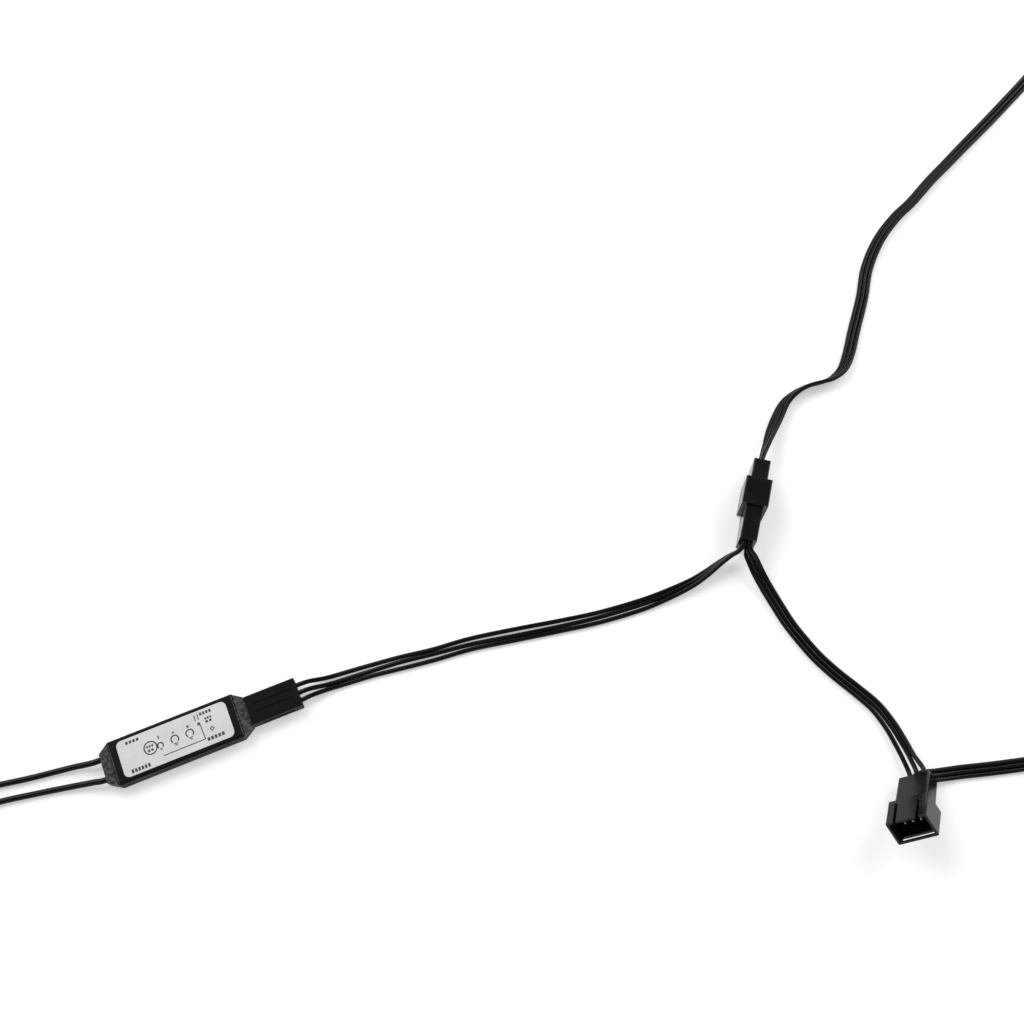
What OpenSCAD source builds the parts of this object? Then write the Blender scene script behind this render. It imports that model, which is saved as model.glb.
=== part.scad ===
// Splitter harness for light strips or fan lights, seen plugged together:
// a slim inline controller, a three-way trunk lead, and a chain of hooded plugs
// whose rear ways each hold two wires, one coming in and one going on. A flat lamp
// lead is plugged into the first hood, and the next one is open.
// The origin is the middle of the controller's underside. +X runs along the
// controller towards its output, +Z is up, and everything lies on z = 0.

/* [Controller case] */
// Length between the two narrow tips
case_l = 46; // [44:0.5:52]
// Length of the full-width middle
case_body_l = 38.6; // [36:0.2:40]
// Width of the middle
case_w = 14.2; // [13.6:0.2:17]
// Width of the narrow tips
tip_w = 9.4; // [9.2:0.1:11]
// Height of the case
case_h = 4.8; // [4.6:0.1:6]
// Drop of the sloping ends
tip_drop = 0.9; // [0.4:0.1:1.2]
// Wall thickness
case_wall = 0.8; // [0.6:0.05:1]
// Dark margin beside the label
label_edge = 1.3; // [1:0.1:2]
// Dark margin at each end of the label
label_end = 2.05; // [1:0.05:4]

/* [Connectors] */
// Distance between neighbouring ways
pitch = 2.5; // [2.4:0.05:2.6]
// Width of the narrow housings
body_w = 10; // [9.6:0.1:11]
// Thickness of the narrow housings
body_t = 5.4; // [5.2:0.1:5.8]
// Length of the narrow rear of a plug
plug_back_l = 11.8; // [10:0.2:13]
// Length of the hood of a plug
hood_l = 9.4; // [9.2:0.1:10.4]
// Room in the hood on each narrow side of a socket
side_room = 0.5; // [0.4:0.05:0.8]
// Room in the hood above and below a socket
top_room = 0.7; // [0.7:0.05:1]
// Length of a socket housing
socket_l = 15.7; // [15.1:0.1:17.5]
// How far a socket goes into a hood
insertion = 8.5; // [8:0.1:8.5]
// Width of the controller's output connector
trunk_socket_w = 9.2; // [9:0.1:10.4]
// Visible length of the controller's output connector
trunk_socket_l = 16; // [14:0.5:18]

/* [Leads] */
// Diameter over the insulation of a signal wire
wire_d = 1.4; // [1.2:0.05:1.45]
// Thickness of the web that bonds the wires of a flat lead
web = 0.05; // [0.05:0.05:0.3]
// Diameter over the insulation of a power lead
power_d = 1.9; // [1.6:0.1:2]

/* [Hidden] */
$fn = 32;

// Colours of the real pieces
black_abs = [0.07, 0.07, 0.075];
black_pvc = [0.05, 0.05, 0.055];
label_grey = [0.86, 0.86, 0.85];
board_green = [0.05, 0.25, 0.13];
chip_black = [0.1, 0.1, 0.1];
tin = [0.78, 0.78, 0.77];
gold = [0.85, 0.68, 0.35];
ceramic = [0.72, 0.62, 0.48];

// Heights inside the case
mid_z = case_h / 2;
board_t = 0.6;
board_top = case_wall + board_t;
board_l = case_l - 12;
board_x = 2;
board_w = case_w - 2 * case_wall - 1;
label_l = case_body_l - 2 * label_end;
label_w = case_w - 2 * label_edge;
label_t = 0.15;
label_r = 1.7;
edge_bevel = 0.5;
lid_gap = 0.02;
lead_y = tip_w / 2 - 1.5;
lead_r = power_d / 2;

// Output connector: its nose goes into the tip of the case
nose_l = 2.4;
nose_w = 2 * pitch + 2.8;
nose_t = 2.6;
nose_gap = 0.1;
header_pin_d = 0.64;
header_pin_in = 6;
header_l = 1.8;
header_x = case_l / 2 - 7.4;
header_foot_x = header_x - 1.4;
trunk_bore = wire_d + 0.5;
trunk_contact_d = trunk_bore - 0.2;

// Three-way plug and socket
chamfer = 0.35;
hood_wall = 0.8;
shoulder = 0.8;
partition = 1.5;
pair_off = wire_d / 2 + 0.1;
cavity_w = wire_d + 0.7;
cavity_t = 2 * pair_off + wire_d + 0.2;
socket_cavity_t = wire_d + 1;
pin_d = 1;
pin_out = 6;
pin_gap = 0.05;
front_bore = pin_d + 0.4;
contact_d = 1.9;
contact_bore = contact_d + 0.1;
crimp_w = cavity_w - 0.4;
crimp_t = cavity_t - 0.5;
socket_crimp_t = socket_cavity_t - 0.5;
crimp_l = 3;
wire_in = 2.2;
butt_gap = 0.05;
plug_l = plug_back_l + hood_l;
hood_in_w = body_w + 2 * side_room;
hood_in_t = body_t + 2 * top_room;
hood_w = hood_in_w + 2 * hood_wall;
hood_t = hood_in_t + 2 * hood_wall;
mouth_x = socket_l - insertion;
mated_l = mouth_x + plug_l;
guide_gap = 0.1;

// Latch: a wide window under the hood, just behind its rim, takes a nib on the lever of the
// socket. The lever lies in a trough and rocks on a post outside the mouth. Two slits free
// the middle of the hood's other side, where a keel of the socket runs.
slit_w = 0.9;
slit_y = hood_in_w / 2 - 2;
slit_x = plug_back_l + 1.8;
rim = 0.7;
window_l = 3.6;
window_w = hood_in_w - 1;
window_x = plug_l - rim - window_l;
trough_w = 5;
trough_floor = body_t / 2 - 1.1;
lever_w = 4;
lever_t = 0.75;
lever_gap = 0.25;
lever_low = trough_floor + lever_gap;
lever_top = lever_low + lever_t;
lever_end = 0.3;
nib_w = 3;
nib_l = 1.5;
nib_play = 0.3;
nib_x = mouth_x + rim + nib_play;
nib_top = hood_t / 2 - 0.2;
post_l = 1.4;
post_x = mouth_x - post_l - 0.6;

// Places: [position, heading, pitch, roll], each about the middle of the rear face,
// with the local +X axis towards the mating end and +Z on the latch side
trunk_end = case_l / 2 + trunk_socket_l;
split_yaw = 54.3;
split_place = [[trunk_end + 147.9, -10, hood_w / 2], split_yaw, 0, -90];
lamp_socket_place = [at(split_place, [mated_l, 0, 0]), split_yaw + 180, 0, 90];
branch_place = [[trunk_end + 162.4, -96.9, 4.43], -136, 34, 50];
chain_place = [[trunk_end + 249, -115, hood_t / 2], 0, 0, 0];
lamp_plug_place = [[trunk_end + 358, 133.2, hood_t / 2], 27.5, 0, 0];
plus_core_place = [[-case_l / 2 - 95, 5.5, lead_r], 199, 0, 0];
minus_core_place = [[-case_l / 2 - 94, -3.5, lead_r], 202, 0, 0];
core_d = 1;
core_l = 6;

// Routes: via(distance past the output connector, y, z, roll, spacing to wire 1, spacing
// to wire 3) of the middle wire, with wire 1 on the left of the way it runs
wire_r = wire_d / 2;
bond = wire_d + web;
trunk_route = [
    via(butt_gap - wire_in, 0, mid_z, 0, pitch, pitch),
    via(0, 0, mid_z, 0, pitch, pitch),
    via(3.5, 0, 2.2, 0, 2.4, 2.2),
    via(9, -0.6, 1.2, 0, 2.2, 1.5),
    via(15, -1, wire_r, 0, 2.1, 1.5),
    via(23, -1.6, wire_r, 0, 1.9, 1.6),
    via(32.5, -2.4, wire_r, 0, 1.6, 2.1),
    via(43, -3.9, wire_r, 0, 1.5, 2),
    via(55, -5.5, wire_r, 0, 1.9, 1.6),
    via(69, -8.2, wire_r, 0, 2.1, 1.5),
    via(83, -10.8, wire_r, 0, 1.9, 1.5),
    via(96, -12.8, wire_r, 0, 1.6, 1.7),
    via(109, -14, wire_r, 0, bond, 1.7),
    via(118, -14.3, 1, -10, bond, bond),
    via(127, -13.9, 1.6, -32, bond, bond),
    via(133, -12.9, 2.3, -48, bond, bond),
    via(138, -11.7, 3.2, -62, bond, bond),
    via(142, -11, 4.3, -70, bond, bond),
    via(145, -10.8, 5.4, -78, 1.7, 1.7),
    way_in(split_place, 0, pair_off, -90),
    way_in(split_place, wire_in, pair_off, -90)];
branch_route = [
    way_in(split_place, wire_in, -pair_off, 90),
    way_in(split_place, 0, -pair_off, 90),
    via(147.7, -12.5, 6, 78, 2.1, 2.1),
    via(147.9, -15.4, 4.8, 48, 1.6, 1.6),
    via(148.2, -19.4, 3.2, 20, bond, bond),
    via(148.7, -24.2, 2, 10, bond, bond),
    via(149.4, -30, 1.2, 8, bond, bond),
    via(150.2, -37, 0.8, 4, bond, bond),
    via(151.4, -43, wire_r, 0, bond, bond),
    via(153.4, -50.5, wire_r, 0, bond, bond),
    via(156.4, -58, 0.8, 0, bond, bond),
    via(159.7, -64.8, 0.9, 4, bond, bond),
    via(162.6, -71.6, 1.2, 10, bond, 1.5),
    via(163.9, -78.5, 1.6, 22, bond, 1.6),
    via(164.2, -84.5, 2.2, 34, bond, 1.9),
    via(164.1, -89.6, 2.9, 42, 1.5, 2.2),
    way_in(branch_place, -2.6, pair_off + 0.6, 50),
    way_in(branch_place, 0, pair_off, 50),
    way_in(branch_place, wire_in, pair_off, 50)];
chain_route = [
    way_in(branch_place, wire_in, -pair_off, -50),
    way_in(branch_place, 0, -pair_off, -50),
    way_in(branch_place, -2, -pair_off - 0.4, -47),
    via(165.9, -96.6, 2.3, -36, 2, 1.9),
    via(169, -97.4, 1.5, -18, 1.6, 1.5),
    via(172.8, -98.3, 1, -6, bond, bond),
    via(177.5, -99.5, wire_r, 0, bond, bond),
    via(186, -102, wire_r, 0, bond, bond),
    via(194.5, -104.3, wire_r, 0, bond, bond),
    via(205, -107, wire_r, 0, bond, bond),
    via(217, -110, wire_r, 0, bond, bond),
    via(227, -112.4, 0.8, 0, bond, bond),
    via(236, -114.1, 1.8, 0, 1.5, 1.5),
    via(243, -114.9, 3.4, 0, 2, 2),
    way_in(chain_place, 0, 0, 0),
    way_in(chain_place, wire_in, 0, 0)];
lamp_route = [
    way_in(lamp_socket_place, wire_in, 0, -90),
    way_in(lamp_socket_place, 0, 0, -90),
    via(167, 16, 6, -84, 2, 2),
    via(170.4, 19.5, 5.1, -66, bond, bond),
    via(174.2, 23.4, 3.8, -42, bond, bond),
    via(179.2, 28, 2.5, -25, bond, bond),
    via(184.2, 32.1, 2.1, -45, bond, bond),
    via(189.6, 34.2, 2.1, -62, bond, bond),
    via(194.6, 34.7, 2.1, -68, bond, bond),
    via(199.2, 34.2, 2.1, -68, bond, bond),
    via(203.4, 34.2, 2, -60, bond, bond),
    via(208.2, 36, 1.8, -42, bond, bond),
    via(213, 40.5, 1.4, -20, bond, bond),
    via(219.4, 48.3, 0.9, -4, bond, bond),
    via(228.2, 58.8, wire_r, 0, bond, bond),
    via(235.5, 68.8, 0.9, -5, bond, bond),
    via(244.8, 77.4, 1.2, -16, bond, bond),
    via(254.8, 83.5, 1.3, -22, bond, bond),
    via(263.5, 87.2, 1.4, -25, bond, bond),
    via(274, 92.6, 1.4, -25, bond, bond),
    via(283.2, 96.8, 1.3, -20, bond, bond),
    via(295, 102.3, 1.1, -12, bond, bond),
    via(306, 107.3, 0.9, -5, bond, bond),
    via(317, 112.5, wire_r, 0, bond, bond),
    via(328.7, 118.1, wire_r, 0, bond, bond),
    via(339, 123.3, 0.8, 0, bond, bond),
    via(348, 128, 2, 0, 1.6, 1.6),
    via(353.5, 130.9, 3.5, 0, 2.1, 2.1),
    way_in(lamp_plug_place, 0, 0, 0),
    way_in(lamp_plug_place, wire_in, 0, 0)];
plus_route = [
    past(-11, lead_y, mid_z), past(0, lead_y, mid_z), past(4, 3.6, 2.1), past(8.5, 4.6, 1.4),
    past(13.5, 5.4, lead_r), past(22, 6.6, lead_r), past(31, 8.2, lead_r), past(43, 10.4, lead_r),
    past(57, 11.8, lead_r), past(72, 11.4, lead_r), past(85, 9, lead_r), plus_core_place[0]];
minus_route = [
    past(-11, -lead_y, mid_z), past(0, -lead_y, mid_z), past(4, -2.4, 2.1), past(9, -1.2, 1.4),
    past(15, 0.1, lead_r), past(23, 1.6, lead_r), past(31, 3, lead_r), past(43, 4.4, lead_r),
    past(57, 4.7, lead_r), past(71, 3.4, lead_r), past(84, 0.4, lead_r), minus_core_place[0]];
ring_gap = 4;
sides = 8;

// Turn a local vector by a place's heading, pitch and roll, and move it there
function rolled(v, a) = [v.x, v.y * cos(a) - v.z * sin(a), v.y * sin(a) + v.z * cos(a)];
function pitched(v, a) = [v.x * cos(a) - v.z * sin(a), v.y, v.x * sin(a) + v.z * cos(a)];
function headed(v, a) = [v.x * cos(a) - v.y * sin(a), v.x * sin(a) + v.y * cos(a), v.z];
function at(place, v) = place[0] + headed(pitched(rolled(v, place[3]), place[2]), place[1]);

// Route row of a flat lead, with x counted from the rear of the output connector
function via(x, y, z, roll, left, right) =
    [trunk_end + x, y, z, roll, max(left, bond), max(right, bond)];

// Point of a power lead, counted back from the input end of the case
function past(x, y, z) = [-case_l / 2 - x, y, z];

// Route row at a housing's rear face: depth inside it, offset across it, roll
function way_in(place, depth, off, roll) =
    let (p = at(place, [depth > 0 ? depth - butt_gap : depth, 0, off]))
    [p.x, p.y, p.z, roll, pitch, pitch];

// Smooth curve through the points, with rings about ring_gap apart
function unit(v) = v / norm(v);
function xyz(p) = [p.x, p.y, p.z];
function bend(a, b, c, d, t) = 0.5 * (2 * b + (c - a) * t + (2 * a - 5 * b + 4 * c - d) * t * t
    + (3 * b - a - 3 * c + d) * t * t * t);
function before(p) = 2 * p[0] - p[1];
function after(p) = 2 * p[len(p) - 1] - p[len(p) - 2];
function smooth(p) =
    let (n = len(p), q = concat([before(p)], p, [after(p)]))
    concat([for (i = [0:n - 2])
        let (steps = max(1, ceil(norm(xyz(p[i + 1]) - xyz(p[i])) / ring_gap)))
        for (j = [0:steps - 1]) bend(q[i], q[i + 1], q[i + 2], q[i + 3], j / steps)],
        [p[n - 1]]);
function way(p, i) = unit(xyz(p[min(i + 1, len(p) - 1)]) - xyz(p[max(i - 1, 0)]));
function left_of(t) = unit(cross([0, 0, 1], t));

// Middle line of one wire of a three-wire lead, from the lead's own route
function wire_line(route, number) =
    let (p = smooth(route))
    [for (i = [0:len(p) - 1])
        let (t = way(p, i), s = left_of(t), u = cross(t, s), a = p[i][3],
            off = number == 1 ? p[i][4] : number == 3 ? -p[i][5] : 0)
        xyz(p[i]) + off * (cos(a) * s + sin(a) * u)];

// One closed tube swept along a line of points
module tube(line, r) {
    n = len(line);
    points = [for (i = [0:n - 1])
        let (t = way(line, i), s = left_of(t), u = cross(t, s))
        for (k = [0:sides - 1])
            let (a = 360 * (k + 0.5) / sides) line[i] + r * (cos(a) * s + sin(a) * u)];
    walls = [for (i = [0:n - 2]) for (k = [0:sides - 1])
        let (m = (k + 1) % sides, b = i * sides, c = b + sides)
        each [[c + m, b + m, b + k], [c + k, c + m, b + k]]];
    first = [for (k = [0:sides - 1]) k];
    last = [for (k = [sides - 1:-1:0]) (n - 1) * sides + k];
    polyhedron(points = points, faces = concat([first, last], walls));
}

// Put a piece at a place
module put(place) {
    translate(place[0]) rotate([0, 0, place[1]]) rotate([0, -place[2], 0]) rotate([place[3], 0, 0])
        children();
}

// Bar along +X with its four long edges bevelled, centred on the axis
module bar(length, width, thick, bevel) {
    rotate([90, 0, 90]) linear_extrude(length) polygon([
        [-width / 2 + bevel, -thick / 2], [width / 2 - bevel, -thick / 2],
        [width / 2, -thick / 2 + bevel], [width / 2, thick / 2 - bevel],
        [width / 2 - bevel, thick / 2], [-width / 2 + bevel, thick / 2],
        [-width / 2, thick / 2 - bevel], [-width / 2, -thick / 2 + bevel]]);
}

// Box from x0 to x1, centred across
module block(x0, x1, width, thick) {
    translate([x0, -width / 2, -thick / 2]) cube([x1 - x0, width, thick]);
}

// Round hole or rod along +X from x0 to x1
module rod(x0, x1, d) {
    translate([x0, 0, 0]) rotate([0, 90, 0]) cylinder(d = d, h = x1 - x0);
}

function way_y(number) = (2 - number) * pitch;

// Outer form of the case, made smaller all round by inset
module case_form(inset) {
    half_l = case_l / 2 - inset;
    half_b = case_body_l / 2 - inset / 2;
    half_w = case_w / 2 - inset;
    half_t = tip_w / 2 - inset;
    low = inset;
    top = case_h - inset;
    tip_top = top - tip_drop;
    intersection() {
        linear_extrude(case_h) polygon([
            [-half_l, -half_t], [-half_b, -half_w], [half_b, -half_w], [half_l, -half_t],
            [half_l, half_t], [half_b, half_w], [-half_b, half_w], [-half_l, half_t]]);
        translate([0, case_w / 2, 0]) rotate([90, 0, 0]) linear_extrude(case_w) polygon([
            [-half_l, low], [half_l, low], [half_l, tip_top], [half_b, top],
            [-half_b, top], [-half_l, tip_top]]);
        translate([-case_l / 2, 0, 0]) rotate([90, 0, 90]) linear_extrude(case_l) polygon([
            [-half_w, low], [half_w, low], [half_w, top - edge_bevel], [half_w - edge_bevel, top],
            [-half_w + edge_bevel, top], [-half_w, top - edge_bevel]]);
    }
}

module case_shell() {
    difference() {
        case_form(0);
        case_form(case_wall);
        translate([case_l / 2 - nose_l - 2, -nose_w / 2 - nose_gap, mid_z - nose_t / 2 - nose_gap])
            cube([nose_l + 3, nose_w + 2 * nose_gap, nose_t + 2 * nose_gap]);
        for (side = [-1, 1]) translate([0, side * lead_y, mid_z])
            rod(-case_l / 2 - 1, -case_l / 2 + 6, power_d + 2 * lid_gap);
    }
}

module case_base() {
    color(black_abs) intersection() {
        case_shell();
        translate([-case_l, -case_w, -1]) cube([2 * case_l, 2 * case_w, 1 + mid_z - lid_gap]);
    }
}

module case_lid() {
    color(black_abs) intersection() {
        case_shell();
        translate([-case_l, -case_w, mid_z]) cube([2 * case_l, 2 * case_w, case_h]);
    }
}

module case_label() {
    color(label_grey) translate([0, 0, case_h]) linear_extrude(label_t) union() {
        square([label_l - 2 * label_r, label_w], center = true);
        square([label_l, label_w - 2 * label_r], center = true);
        for (sx = [-1, 1]) for (sy = [-1, 1])
            translate([sx * (label_l / 2 - label_r), sy * (label_w / 2 - label_r)]) circle(label_r);
    }
}

module circuit_board() {
    color(board_green) translate([board_x, 0, case_wall + board_t / 2])
        block(-board_l / 2, board_l / 2, board_w, board_t);
}

// Eight-legged chip on the board
module microcontroller() {
    chip_l = 5;
    chip_w = 4;
    chip_h = 1.4;
    leg = 0.4;
    color(chip_black) translate([4, 0, board_top]) {
        translate([-chip_l / 2, -chip_w / 2, 0]) cube([chip_l, chip_w, chip_h]);
        for (i = [0:3]) translate([(i - 1.5) * 1.27 - leg / 2, -chip_w / 2 - 1, 0])
            cube([leg, chip_w + 2, 0.25]);
    }
}

module voltage_regulator() {
    color(chip_black) translate([-5, 2.6, board_top]) {
        translate([-1.5, -0.8, 0]) cube([3, 1.6, 1.1]);
        for (x = [-0.95, 0, 0.95]) translate([x - 0.2, -1.3, 0]) cube([0.4, 0.6, 0.2]);
    }
}

module filter_capacitor() {
    color(ceramic) translate([-6.6, -2.8, board_top]) cube([3.2, 1.6, 1.3]);
}

module series_resistors() {
    color(chip_black) for (i = [0:2]) translate([9.5, (i - 1) * pitch - 0.6, board_top])
        cube([2, 1.2, 0.55]);
}

module output_header() {
    strip_h = 2 * (mid_z - board_top);
    color(chip_black) translate([0, 0, mid_z]) difference() {
        block(header_x, header_x + header_l, nose_w, strip_h);
        for (number = [1:3]) translate([0, way_y(number), 0])
            rod(header_x - 1, header_x + header_l + 1, header_pin_d);
    }
}

// Pin that bends down to its pad on the board
module header_pin(number) {
    color(gold) translate([0, way_y(number), mid_z]) {
        rod(header_foot_x, case_l / 2 - nose_l + header_pin_in, header_pin_d);
        translate([header_foot_x, 0, board_top - mid_z]) cylinder(d = header_pin_d, h = mid_z - board_top);
        translate([header_foot_x, 0, 0]) sphere(d = header_pin_d);
    }
}

module power_lead(route) {
    color(black_pvc) tube([for (p = smooth(route)) xyz(p)], lead_r);
}

module power_core(place) {
    color(tin) put(place) rod(butt_gap, core_l, core_d);
}

// Connector that is pushed into the controller's output end
module trunk_socket() {
    nose_x = case_l / 2 - nose_l;
    rib_t = 0.2;
    color(black_abs) translate([0, 0, mid_z]) difference() {
        union() {
            translate([case_l / 2 + lid_gap, 0, 0])
                bar(trunk_socket_l - lid_gap, trunk_socket_w, case_h, chamfer);
            block(nose_x, case_l / 2 + 1, nose_w, nose_t);
        }
        for (number = [1:3]) translate([0, way_y(number), 0]) rod(nose_x - 1, trunk_end + 1, trunk_bore);
        for (side = [-1, 1]) translate([case_l / 2 + 2, side * pitch / 2 - 0.25, case_h / 2 - rib_t])
            cube([trunk_socket_l - 4, 0.5, 1]);
        for (side = [-1, 1]) translate([case_l / 2 + 3, side * trunk_socket_w / 2 - rib_t, -0.6])
            cube([trunk_socket_l - 6, 2 * rib_t, 1.2]);
    }
}

module trunk_contact(number) {
    nose_x = case_l / 2 - nose_l;
    hole_l = header_pin_in + 1;
    color(tin) translate([0, way_y(number), mid_z]) difference() {
        rod(nose_x + 0.3, trunk_end - wire_in, trunk_contact_d);
        rod(nose_x - 1, nose_x + hole_l, header_pin_d + 2 * pin_gap);
    }
}

module wire(route, number) {
    color(black_pvc) tube(wire_line(route, number), wire_r);
}

// Plug housing: narrow rear with three wire cavities, and a hood round the pins
module plug(place) {
    color(black_abs) put(place) difference() {
        union() {
            bar(plug_back_l + 1, body_w, body_t, chamfer);
            translate([plug_back_l, 0, 0]) bar(hood_l, hood_w, hood_t, chamfer);
        }
        block(plug_back_l + shoulder, plug_l + 1, hood_in_w, hood_in_t);
        for (side = [-1, 1]) translate([slit_x, side * slit_y - slit_w / 2, hood_in_t / 2 - 1])
            cube([hood_l, slit_w, hood_wall + 2]);
        translate([window_x, -window_w / 2, -hood_t / 2 - 1]) cube([window_l, window_w, hood_wall + 2]);
        for (number = [1:3]) translate([0, way_y(number), 0]) {
            block(-1, plug_back_l - partition, cavity_w, cavity_t);
            rod(0, plug_l, pin_d);
        }
    }
}

// Male pin with a rounded tip and its crimp
module pin(place, number) {
    tip = pin_d / 2;
    end = plug_back_l + pin_out;
    color(gold) put(place) translate([0, way_y(number), 0]) {
        block(wire_in, wire_in + crimp_l, crimp_w, crimp_t);
        rod(wire_in + crimp_l, end - tip, pin_d);
        translate([end - tip, 0, 0]) sphere(d = pin_d);
    }
}

// Socket housing with its latch lever moulded on, in a trough under the body
module socket(place) {
    guide_t = hood_in_w / 2 - guide_gap - body_w / 2;
    keel_t = hood_in_t / 2 - guide_gap;
    keel_w = 1.5;
    color(black_abs) put(place) difference() {
        union() {
            difference() {
                bar(socket_l, body_w, body_t, chamfer);
                translate([-1, -trough_w / 2, -body_t / 2 - 1])
                    cube([socket_l + 2, trough_w, 1 + body_t / 2 - trough_floor]);
            }
            block(mouth_x, socket_l, body_w + 2 * guide_t, 1.2);
            translate([mouth_x, -keel_w / 2, 0]) cube([insertion, keel_w, keel_t]);
            mirror([0, 0, 1]) lever_side();
            mirror([0, 0, 1]) translate([nib_x, -nib_w / 2, lever_low])
                cube([nib_l, nib_w, nib_top - lever_low]);
        }
        for (number = [1:3]) translate([0, way_y(number), 0]) {
            block(-1, wire_in + crimp_l, cavity_w, socket_cavity_t);
            rod(0, socket_l - 1, contact_bore);
            rod(0, socket_l + 1, front_bore);
        }
    }
}

// Side outline of the lever: post, forward arm with a sloping nose, and thumb end
module lever_side() {
    arm_end = nib_x + nib_l + 0.6;
    foot = trough_floor - 0.3;
    thumb_l = 2.4;
    translate([0, lever_w / 2, 0]) rotate([90, 0, 0]) linear_extrude(lever_w) polygon([
        [post_x, foot], [post_x + post_l, foot], [post_x + post_l, lever_low], [arm_end, lever_low],
        [arm_end, lever_low + 0.3], [arm_end - 0.8, lever_top], [lever_end + thumb_l, lever_top],
        [lever_end + thumb_l - 0.4, lever_top + 0.3], [lever_end, lever_top + 0.3],
        [lever_end, lever_low], [post_x, lever_low]]);
}

// Female contact with its crimp
module contact(place, number) {
    color(tin) put(place) translate([0, way_y(number), 0]) difference() {
        union() {
            block(wire_in, wire_in + crimp_l, crimp_w, socket_crimp_t);
            rod(wire_in + crimp_l, socket_l - 1.1, contact_d);
        }
        rod(wire_in + crimp_l + 2, socket_l, pin_d + 2 * pin_gap);
    }
}

case_base();
case_lid();
case_label();
circuit_board();
microcontroller();
voltage_regulator();
filter_capacitor();
series_resistors();
output_header();
power_lead(plus_route);  // power_lead_plus
power_lead(minus_route);  // power_lead_minus
power_core(plus_core_place);  // power_core_plus
power_core(minus_core_place);  // power_core_minus
trunk_socket();
plug(split_place);  // split_plug
socket(lamp_socket_place);  // lamp_socket
plug(lamp_plug_place);  // lamp_plug
plug(branch_place);  // branch_plug
plug(chain_place);  // chain_plug
for (number = [1:3]) {
    header_pin(number);
    trunk_contact(number);
    wire(trunk_route, number);
    pin(split_place, number);
    contact(lamp_socket_place, number);
    wire(lamp_route, number);
    pin(lamp_plug_place, number);
    wire(branch_route, number);
    pin(branch_place, number);
    wire(chain_route, number);
    pin(chain_place, number);
}
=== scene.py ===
"""Looks of a splitter harness for small lights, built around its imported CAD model.

The harness is a slim inline controller with a printed film on its lid, a three-wire lead
to a hooded plug, a lamp lead whose socket is pushed into that hood, and a second hooded
plug that is open, from which another lead goes on. Every length is in metres, in the row
frame: the origin is the middle of the controller's underside, +X runs along it towards its
output and +Z is up.
"""

from __future__ import annotations

import logging
import math
from dataclasses import dataclass, field
from enum import Enum

import bmesh
import bpy
import numpy as np
from mathutils import Matrix

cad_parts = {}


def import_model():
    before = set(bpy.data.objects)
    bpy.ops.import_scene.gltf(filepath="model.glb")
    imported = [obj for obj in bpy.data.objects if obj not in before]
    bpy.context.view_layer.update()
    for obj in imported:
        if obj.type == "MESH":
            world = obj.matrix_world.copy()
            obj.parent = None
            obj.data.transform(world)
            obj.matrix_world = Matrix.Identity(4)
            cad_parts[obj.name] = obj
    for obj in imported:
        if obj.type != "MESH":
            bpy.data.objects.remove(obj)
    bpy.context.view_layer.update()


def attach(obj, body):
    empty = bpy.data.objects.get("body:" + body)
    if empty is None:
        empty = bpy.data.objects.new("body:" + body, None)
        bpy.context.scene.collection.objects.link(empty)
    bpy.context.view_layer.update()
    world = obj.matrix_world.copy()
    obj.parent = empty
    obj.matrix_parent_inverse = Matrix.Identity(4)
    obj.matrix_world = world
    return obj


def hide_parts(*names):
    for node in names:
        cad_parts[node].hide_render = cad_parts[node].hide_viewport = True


LOG = logging.getLogger("harness")
BODY = "root"


def srgb(code: str) -> tuple[float, float, float, float]:
    """Turn a hex colour such as "1b1b1d" to linear light.

    Args:
        code: six hex digits, sRGB.

    Returns:
        Linear red, green and blue, with an alpha of 1.
    """
    parts = np.array([int(code[i : i + 2], 16) for i in (0, 2, 4)]) / 255
    linear = np.where(parts <= 0.04045, parts / 12.92, ((parts + 0.055) / 1.055) ** 2.4)
    return (*(float(part) for part in linear), 1.0)


def add_node(
    tree: bpy.types.NodeTree, kind: str, inputs: dict | None = None, **settings
) -> bpy.types.Node:
    """Add one node with its settings, its input values and its links.

    Args:
        tree: the node tree it joins.
        kind: Blender's class name of the node.
        inputs: socket name or number to a value, or to the output socket that feeds it.
        **settings: properties of the node itself.

    Returns:
        The new node.
    """
    node = tree.nodes.new(kind)
    for name, value in settings.items():
        setattr(node, name, value)
    for name, value in (inputs or {}).items():
        if isinstance(value, bpy.types.NodeSocket):
            tree.links.new(value, node.inputs[name])
        else:
            node.inputs[name].default_value = value
    return node


def new_material(name: str) -> tuple[bpy.types.Material, bpy.types.NodeTree]:
    """Make an empty node material and return it with its tree."""
    material = bpy.data.materials.new(name)
    material.use_nodes = True
    material.node_tree.nodes.clear()
    return material, material.node_tree


class Space(Enum):
    """Where a pattern takes its coordinates from."""

    OBJECT = "Object"
    UV = "UV"


# Octaves and falloff of the noise in the colour patches and in the finer surface grain.
PATCH_NOISE = {"Detail": 3.0, "Roughness": 0.55}
GRAIN_NOISE = {"Detail": 2.0, "Roughness": 0.6}
# The part of the patch noise's range that is drawn out to run from the dark to the light colour.
PATCH_RANGE = {"From Min": 0.35, "From Max": 0.65}


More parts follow.
